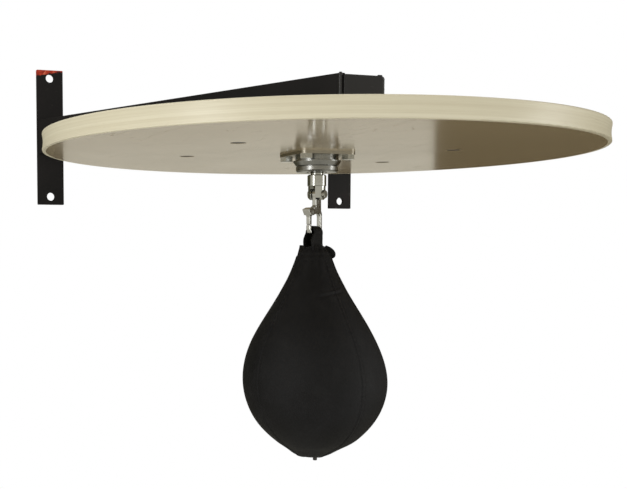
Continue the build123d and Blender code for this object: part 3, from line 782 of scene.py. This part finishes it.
def neck_fold(point, heading):
    """Folds running down from the tied neck."""
    near_neck = smooth_step(point.z, NECK_Z - FOLD_FADE, NECK_Z)
    sway = noise.noise(point * 22) * 1.6
    folds = math.sin(11 * heading + sway) + 0.6 * math.sin(7 * heading - 1.3 + 2 * sway)
    return FOLD_DEPTH * near_neck * folds


def crease_relief(turn, z):
    """The short crease at the upper right of the photographed side: a ridge under a groove."""
    rise = z - (CREASE_Z + CREASE_SLOPE * turn)
    begins = smooth_step(turn, math.radians(2), math.radians(14))
    ends = smooth_step(turn, math.radians(48), math.radians(62))
    ridge = CREASE_DEPTH * hump(rise + 1.6 * MM, 1.4 * MM)
    groove = CREASE_DEPTH * hump(rise - 1.2 * MM, 1.3 * MM)
    return begins * (1 - ends) * (ridge - groove)


def dress_surface(piece):
    """Seams, neck folds, the crease and soft dents, pressed into the panels. Then the bag sags."""
    points = [vert.co.copy() for vert in piece.data.vertices]
    normals = [vert.normal.copy() for vert in piece.data.vertices]
    dressed = []
    for point, normal in zip(points, normals):
        heading = math.atan2(point.x - axis_x, -(point.y - axis_y))
        radius = math.hypot(point.x - axis_x, point.y - axis_y)
        seam = seam_relief(seam_distance(heading, radius), point.z)
        dent = DENT_DEPTH * noise.noise(point * 17 + Vector((3.1, 0.4, 5.2)))
        relief = seam + dent + crease_relief(heading - VIEW_HEADING, point.z)
        calm = smooth_step(radius, 2 * MM, 12 * MM)
        place = point + normal * (relief * calm + neck_fold(point, heading))
        place.z = max(place.z, shell_low.z)
        dressed.append(sag(place))
    piece.data.vertices.foreach_set("co", np.array(dressed, np.float32).ravel())
    piece.data.update()


def leather_bag():
    """The sewn panels, blown up tight between their seams."""
    points, faces = bag_grid(PANEL_INSET)
    mesh = mesh_from("bag_leather_panels", points, faces)
    piece = make_piece("bag_leather_panels", mesh, bag_leather, "bag")
    panel = MERIDIANS // PANEL_COUNT
    held = [
        index
        for index in range(len(points))
        if index % MERIDIANS % panel == 0 or index < 3 * MERIDIANS or index >= (RINGS - 2) * MERIDIANS
    ]
    inflate(piece, held, PRESSURE, PANEL_CAP)
    subdivide(piece, 2)
    dress_surface(piece)
    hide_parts("bag_shell")


leather_bag()


def leaning_bladder():
    """The bladder follows the leather to one side, and shrinks a little to stay inside it."""
    mesh = nodes["bag_bladder"].data.copy()
    piece = make_piece("bladder_skin", mesh, bladder_rubber, "bag")
    middle = Vector((axis_x, axis_y, (shell_low.z + shell_high.z) / 2))
    moved = [sag(middle + (vert.co - middle) * BLADDER_SHRINK) for vert in mesh.vertices]
    mesh.vertices.foreach_set("co", np.array(moved, np.float32).ravel())
    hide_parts("bag_bladder")


leaning_bladder()

# ---------------------------------------------------------------- bag: loop strap

STRAP_HALF_WIDTH = 8.5 * MM
STRAP_FOOT_WIDER = 1.42
STRAP_BOW_LEFT = 1.4 * MM
STRAP_BOW_RIGHT = -2.0 * MM
STRAP_THICKNESS = 2.4 * MM
CROWN_THICKER = 1.5
CROWN_LIFT = 0.7 * MM
STRIP_SIDES = 28
LEG_STEPS = 14
CROWN_STEPS = 16
loop_low, loop_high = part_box("bag_loop")
LOOP_R = loop_high.z - loop_pivot.z - STRAP_THICKNESS / 2
STRAP_END_Z = collar_high.z - 9 * MM


def squared(value, power):
    """A sine or cosine drawn towards its ends, which makes a circle into a rounded box."""
    return math.copysign(abs(value) ** power, value)


def strap_section(angle, share):
    """A flat strap with rounded edges, thickest over the hook and widest at its two feet."""
    from_crown = abs(2 * share - 1)
    spread = 1.0 + (STRAP_FOOT_WIDER - 1.0) * smooth_step(from_crown, 0.3, 0.62)
    heavy = CROWN_THICKER - (CROWN_THICKER - 1.0) * smooth_step(from_crown, 0.2, 0.5)
    thick = squared(math.cos(angle), 0.6)
    flat = squared(math.sin(angle), 0.45)
    return thick * heavy * STRAP_THICKNESS / 2, flat * STRAP_HALF_WIDTH * spread


def loop_leg(side, bow):
    """One leg of the loop from its foot up to the hook, bowed outward, as (offset, height) pairs."""
    height = loop_pivot.z - STRAP_END_Z
    leg = []
    for step in range(LEG_STEPS):
        share = step / LEG_STEPS
        leg.append((side * (LOOP_R + bow * math.sin(math.pi * share)), STRAP_END_Z + height * share))
    return leg


def loop_path():
    """Up one side, over the hook's lower bar, and down the other."""
    path = loop_leg(-1, STRAP_BOW_LEFT)
    for step in range(CROWN_STEPS + 1):
        angle = math.pi * (1 - step / CROWN_STEPS)
        path.append((LOOP_R * math.cos(angle), loop_pivot.z + (LOOP_R + CROWN_LIFT) * math.sin(angle)))
    path.extend(reversed(loop_leg(1, STRAP_BOW_RIGHT)))
    middle = Vector(((loop_low.x + loop_high.x) / 2, (loop_low.y + loop_high.y) / 2, 0))
    return [middle + pin_direction * offset + Vector((0, 0, z)) for offset, z in path]


def strap_loop():
    """The leather loop that hangs the bag."""
    path = loop_path()
    points = sweep(path, STRIP_SIDES, strap_section, side_direction)
    mesh = mesh_from("bag_loop_strap", points, ring_faces(len(path), STRIP_SIDES))
    piece = make_piece("bag_loop_strap", mesh, strap_leather, "bag")
    subdivide(piece, 1)
    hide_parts("bag_loop")


strap_loop()

# ---------------------------------------------------------------- bag: gathered collar

COLLAR_AROUND = 168
COLLAR_RINGS = 22
COLLAR_WALL = 2.3 * MM
COLLAR_GAP = 0.5 * MM
COLLAR_FOOT_Z = collar_low.z - 7 * MM
LIP_Z = collar_high.z - 3.6 * MM
LIP_WAVE = 0.7 * MM
LIP_CLOSING = 5.0 * MM
GATHER_DEPTH = 0.45 * MM
WAIST_DEPTH = 0.4 * MM
EAR_SPREAD = 2.6 * MM
LEFT_EAR = VIEW_HEADING - math.radians(93)
RIGHT_FLAP = VIEW_HEADING + math.radians(88)


def bell(heading, centre, degrees):
    """1 at one heading, falling smoothly to 0 on both sides of it."""
    return hump(math.remainder(heading - centre, 2 * math.pi), math.radians(degrees))


def collar_point(heading, share, inner):
    """A point on the collar: share 0 at its foot on the neck, 1 at its lip."""
    ear = bell(heading, LEFT_EAR, 20)
    flap = bell(heading, RIGHT_FLAP, 24)
    lip_z = LIP_Z + 0.8 * MM * ear - 1.0 * MM * flap
    lip_z += LIP_WAVE * math.sin(5 * heading + 0.7) * math.sin(2 * heading)
    z = COLLAR_FOOT_Z + (lip_z - COLLAR_FOOT_Z) * share
    neck = bag_radius(min(z, NECK_Z)) + COLLAR_GAP
    pleats = math.sin(13 * heading + 1.2 * math.sin(3 * heading))
    gather = GATHER_DEPTH * pleats * smooth_step(share, 0.1, 0.8)
    waist = -WAIST_DEPTH * hump(share - 0.42, 0.13)
    closing = -LIP_CLOSING * smooth_step(share, 0.35, 1.0)
    spread = EAR_SPREAD * ear * smooth_step(share, 0.45, 1.0)
    radius = neck + gather + waist + closing + spread - (COLLAR_WALL if inner else 0.0)
    return sag(out_from_axis(heading, radius, z))


def gathered_collar():
    """The neck strip round the bag's top: up its outside, over the lip, and down its inside."""
    points = []
    for inner in (False, True):
        for ring in range(COLLAR_RINGS):
            share = ring / (COLLAR_RINGS - 1)
            share = 1 - share if inner else share
            for step in range(COLLAR_AROUND):
                points.append(collar_point(2 * math.pi * step / COLLAR_AROUND, share, inner))
    faces = ring_faces(2 * COLLAR_RINGS, COLLAR_AROUND, closed_ends=False)
    last = (2 * COLLAR_RINGS - 1) * COLLAR_AROUND
    for step in range(COLLAR_AROUND):
        following = (step + 1) % COLLAR_AROUND
        faces.append((last + step, last + following, following, step))
    mesh = mesh_from("bag_collar_gathered", points, faces)
    piece = make_piece("bag_collar_gathered", mesh, bag_leather, "bag")
    subdivide(piece, 1)
    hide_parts("bag_collar")


gathered_collar()

# ---------------------------------------------------------------- bag: turned-down flap

FLAP_LENGTH = 14 * MM
FLAP_HALF_WIDTH = 6.0 * MM
FLAP_HALF_THICKNESS = 1.3 * MM
FLAP_CUP = 0.9 * MM
FLAP_ROOT_RADIUS = 11 * MM
FLAP_ROOT_Z = collar_high.z - 8.4 * MM
FLAP_STEPS = 14


def flap_section(angle, share):
    """A thin cupped strip, rounded off at its free end."""
    round_end = math.sqrt(max(0.02, 1 - max(0.0, (share - 0.55) / 0.46) ** 2))
    flat = squared(math.cos(angle), 0.5)
    thick = squared(math.sin(angle), 0.6)
    cup = FLAP_CUP * flat * flat
    return flat * FLAP_HALF_WIDTH * round_end, thick * FLAP_HALF_THICKNESS - cup


def neck_flap():
    """The end of the neck strip, folded out and down on one side."""
    up = Vector((0, 0, 1))
    outward = out_from_axis(RIGHT_FLAP, 1.0, 0) - out_from_axis(RIGHT_FLAP, 0.0, 0)
    path = [sag(out_from_axis(RIGHT_FLAP, FLAP_ROOT_RADIUS, FLAP_ROOT_Z))]
    for step in range(1, FLAP_STEPS + 1):
        bend = math.radians(14) + math.radians(74) * (step / FLAP_STEPS) ** 1.5
        path.append(path[-1] + (outward * math.cos(bend) - up * math.sin(bend)) * FLAP_LENGTH / FLAP_STEPS)
    points = sweep(path, STRIP_SIDES, flap_section, up.cross(outward))
    mesh = mesh_from("neck_flap", points, ring_faces(len(path), STRIP_SIDES))
    piece = make_piece("neck_flap", mesh, bag_leather, "bag")
    subdivide(piece, 1)


neck_flap()

# ---------------------------------------------------------------- stage: floor, cards, lights, world

FLOOR_DROP = 1.9
FLOOR_FADE = (3.0, 6.5)
CARD_REACH = 5.0
CARD_HALF_HEIGHT = 2.4
LAMP_REACH = 2.2
LAMP_HEIGHT = 2.6
LAMP_Z = 0.2
CAMERA_PLACE = Vector((-0.5443, -1.4475, -0.1620))
WHITE = (1.0, 1.0, 1.0)


def studio_floor():
    """A pale floor at the height such a platform hangs, fading to the backdrop's white far away."""
    bpy.ops.mesh.primitive_plane_add(size=120, location=(0, 0, underside_z - FLOOR_DROP))
    floor = bpy.context.object
    floor.name = "studio_floor"
    r = Recipe("pale_floor")
    speck = r.noise(60.0, 5.0)
    pale = r.ramp(speck, (0.3, (0.80, 0.785, 0.75)), (0.7, (0.85, 0.835, 0.80)))
    cover = r.add("BsdfDiffuse", {"Color": pale})
    glow = r.add("Emission", {"Color": WHITE, "Strength": 1.0})
    reach = r.add("VectorMath", {0: r.place}, operation="LENGTH").outputs["Value"]
    far = r.span(reach, *FLOOR_FADE)
    both = r.add("MixShader", {0: far, 1: cover.outputs[0], 2: glow.outputs[0]})
    r.add("OutputMaterial", {"Surface": both.outputs[0]})
    floor.data.materials.append(r.material)
    floor.visible_glossy = False


def card(name, headings, colour, shades=False):
    """A flat standing between two headings from the camera's standpoint, never seen directly."""
    sides = []
    for heading in headings:
        angle = math.radians(heading)
        sides.append(CAMERA_PLACE + Vector((CARD_REACH * math.sin(angle), CARD_REACH * math.cos(angle), 0)))
    half = Vector((0, 0, CARD_HALF_HEIGHT))
    corners = [sides[0] - half, sides[1] - half, sides[1] + half, sides[0] + half]
    piece = bpy.data.objects.new(name, mesh_from(name, corners, [(0, 1, 2, 3)]))
    bpy.context.scene.collection.objects.link(piece)
    r = Recipe(name)
    cloud = r.noise(1.3, 3.0)
    shade = r.mix(cloud, tuple(0.8 * part for part in colour), tuple(1.2 * part for part in colour))
    glow = r.add("Emission", {"Color": shade, "Strength": 1.0})
    r.add("OutputMaterial", {"Surface": glow.outputs[0]})
    piece.data.materials.append(r.material)
    piece.visible_camera = False
    piece.visible_diffuse = shades
    piece.visible_shadow = False


def studio_world():
    """White to the camera. Reflections and light come from a pale ceiling over a beige horizon."""
    world = bpy.data.worlds.new("studio")
    world.use_nodes = True
    bpy.context.scene.world = world
    s = Shading(world.node_tree)
    direction = s.add("TexCoord", {}).outputs["Generated"]
    height = s.add("SeparateXYZ", {"Vector": direction}).outputs[2]
    tint = s.ramp(
        s.span(height, -1.0, 1.0),
        (0.0, (0.42, 0.40, 0.34)),
        (0.44, (0.58, 0.555, 0.47)),
        (0.50, (0.60, 0.575, 0.49)),
        (0.60, (0.66, 0.64, 0.58)),
        (1.0, (0.95, 0.94, 0.90)),
    )
    seen = s.add("LightPath", {}).outputs["Is Camera Ray"]
    background = s.add("Background", {"Color": s.mix(seen, tint, WHITE), "Strength": 1.0})
    s.add("OutputWorld", {"Surface": background.outputs[0]})


def strip_light(name, heading, width, power):
    """A tall softbox at a heading from the swivel, facing its axis."""
    lamp = bpy.data.lights.new(name, "AREA")
    lamp.shape = "RECTANGLE"
    lamp.size, lamp.size_y = width, LAMP_HEIGHT
    lamp.energy = power
    holder = bpy.data.objects.new(name, lamp)
    bpy.context.scene.collection.objects.link(holder)
    holder.location = out_from_axis(math.radians(heading), LAMP_REACH, LAMP_Z)
    facing = Vector((axis_x, axis_y, LAMP_Z)) - holder.location
    holder.rotation_euler = facing.to_track_quat("-Z", "Y").to_euler()


studio_floor()
studio_world()
card("reflector_dark_right", (32.8, 78.0), (0.045, 0.030, 0.010), shades=True)
card("reflector_dark_left", (-55.0, 13.2), (0.10, 0.095, 0.06))
strip_light("window_left", heading=-66.0, width=0.55, power=23.0)
strip_light("window_right", heading=62.0, width=0.6, power=16.0)

# ---------------------------------------------------------------- camera

CAMERA_HEADING = math.radians(19.08)
CAMERA_PITCH = math.radians(-4.05)
CAMERA_ROLL = math.radians(-0.15)
CAMERA_LENS = 61.0
CAMERA_SHIFT = (0.2242, 0.1386)


def photo_camera():
    """The photograph is an off-centre crop, so at its standpoint, and only there, the lens is shifted."""
    camera = bpy.data.cameras.new("camera")
    camera.lens = CAMERA_LENS
    camera.sensor_width = 36.0
    camera.clip_start = 0.01
    holder = bpy.data.objects.new("camera", camera)
    bpy.context.scene.collection.objects.link(holder)
    level = math.cos(CAMERA_PITCH)
    aim = Vector((
        math.sin(CAMERA_HEADING) * level,
        math.cos(CAMERA_HEADING) * level,
        math.sin(CAMERA_PITCH),
    ))
    turn = aim.to_track_quat("-Z", "Y").to_matrix().to_4x4()
    holder.matrix_world = Matrix.Translation(CAMERA_PLACE) @ turn @ Matrix.Rotation(CAMERA_ROLL, 4, "Z")
    for attribute, amount in zip(("shift_x", "shift_y"), CAMERA_SHIFT):
        driver = camera.driver_add(attribute).driver
        reading = driver.variables.new()
        reading.name = "x"
        reading.type = "TRANSFORMS"
        reading.targets[0].id = holder
        reading.targets[0].transform_type = "LOC_X"
        driver.expression = f"{amount} if abs(x - {CAMERA_PLACE.x:.4f}) < 0.0005 else 0.0"
    bpy.context.scene.camera = holder


photo_camera()
bpy.context.scene.view_settings.view_transform = "Standard"
